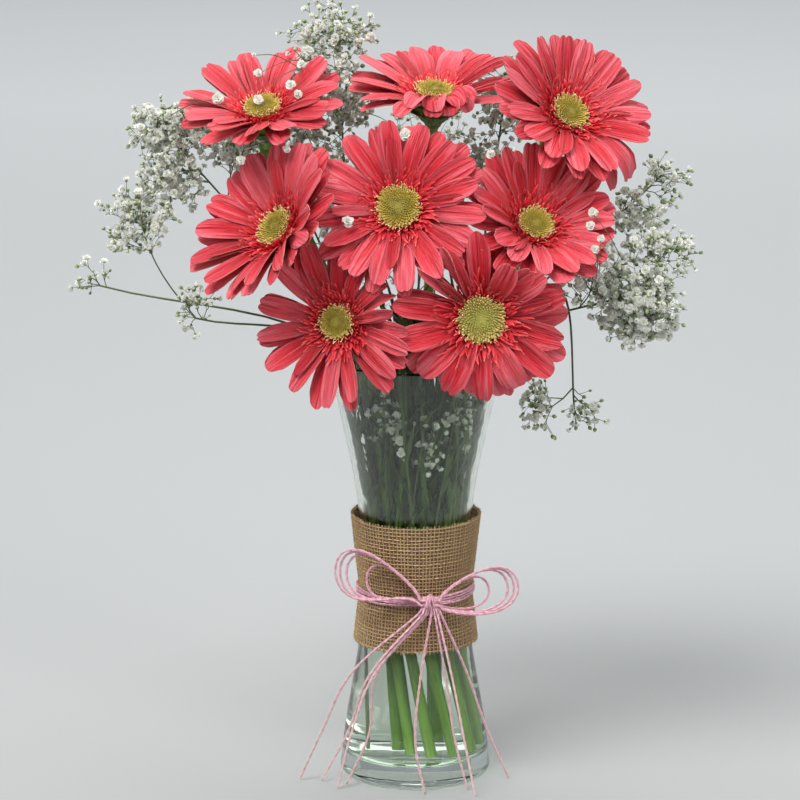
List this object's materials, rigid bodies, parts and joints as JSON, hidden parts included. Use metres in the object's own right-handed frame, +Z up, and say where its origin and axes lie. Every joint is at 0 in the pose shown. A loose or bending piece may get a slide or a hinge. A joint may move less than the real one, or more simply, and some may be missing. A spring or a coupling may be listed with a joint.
{
  "type": "flowers in a vase",
  "caption": "Coral gerberas and white baby's breath in a waisted glass vase of water, with a hessian band and a twine bow.",
  "frame": {"origin": "centre of the vase's flat base, on the surface that it stands on", "axes": "+Z up along the vase's axis, -Y towards the viewer where the bow and the flowers face, +X to the viewer's right"},
  "size_m": [0.3622, 0.2079, 0.443],
  "materials": {
    "glass": "clear polished glass with a slight green tint",
    "water": "clear still water",
    "hessian": "coarse open plain weave",
    "twine": "matt twisted twine",
    "petal": "satin petal",
    "heart": "fine matt florets",
    "stem": "satin green stem",
    "breath": "matt small flowers on thin green twigs"
  },
  "bodies": {
    "root": {"breath_1": "breath", "breath_10": "breath", "breath_11": "breath", "breath_2": "breath", "breath_3": "breath", "breath_4": "breath", "breath_5": "breath", "breath_6": "breath", "breath_7": "breath", "breath_8": "breath", "breath_9": "breath", "breath_low_1": "breath", "breath_low_2": "breath", "breath_low_3": "breath", "gerbera_1_disc": "heart", "gerbera_1_rays": "petal", "gerbera_1_stem": "stem", "gerbera_2_disc": "heart", "gerbera_2_rays": "petal", "gerbera_2_stem": "stem", "gerbera_3_disc": "heart", "gerbera_3_rays": "petal", "gerbera_3_stem": "stem", "gerbera_4_disc": "heart", "gerbera_4_rays": "petal", "gerbera_4_stem": "stem", "gerbera_5_disc": "heart", "gerbera_5_rays": "petal", "gerbera_5_stem": "stem", "gerbera_6_disc": "heart", "gerbera_6_rays": "petal", "gerbera_6_stem": "stem", "gerbera_7_disc": "heart", "gerbera_7_rays": "petal", "gerbera_7_stem": "stem", "gerbera_8_disc": "heart", "gerbera_8_rays": "petal", "gerbera_8_stem": "stem", "hessian_band": "hessian", "twine_knot": "twine", "twine_loop_left_1": "twine", "twine_loop_left_2": "twine", "twine_loop_left_3": "twine", "twine_loop_left_4": "twine", "twine_loop_right_1": "twine", "twine_loop_right_2": "twine", "twine_loop_right_3": "twine", "twine_loop_right_4": "twine", "twine_tail_1": "twine", "twine_tail_2": "twine", "twine_tail_3": "twine", "twine_tail_4": "twine", "twine_tail_5": "twine", "twine_tail_6": "twine", "twine_tail_7": "twine", "twine_tail_8": "twine", "twine_tie": "twine", "vase": "glass", "water": "water"}
  },
  "joints": []
}
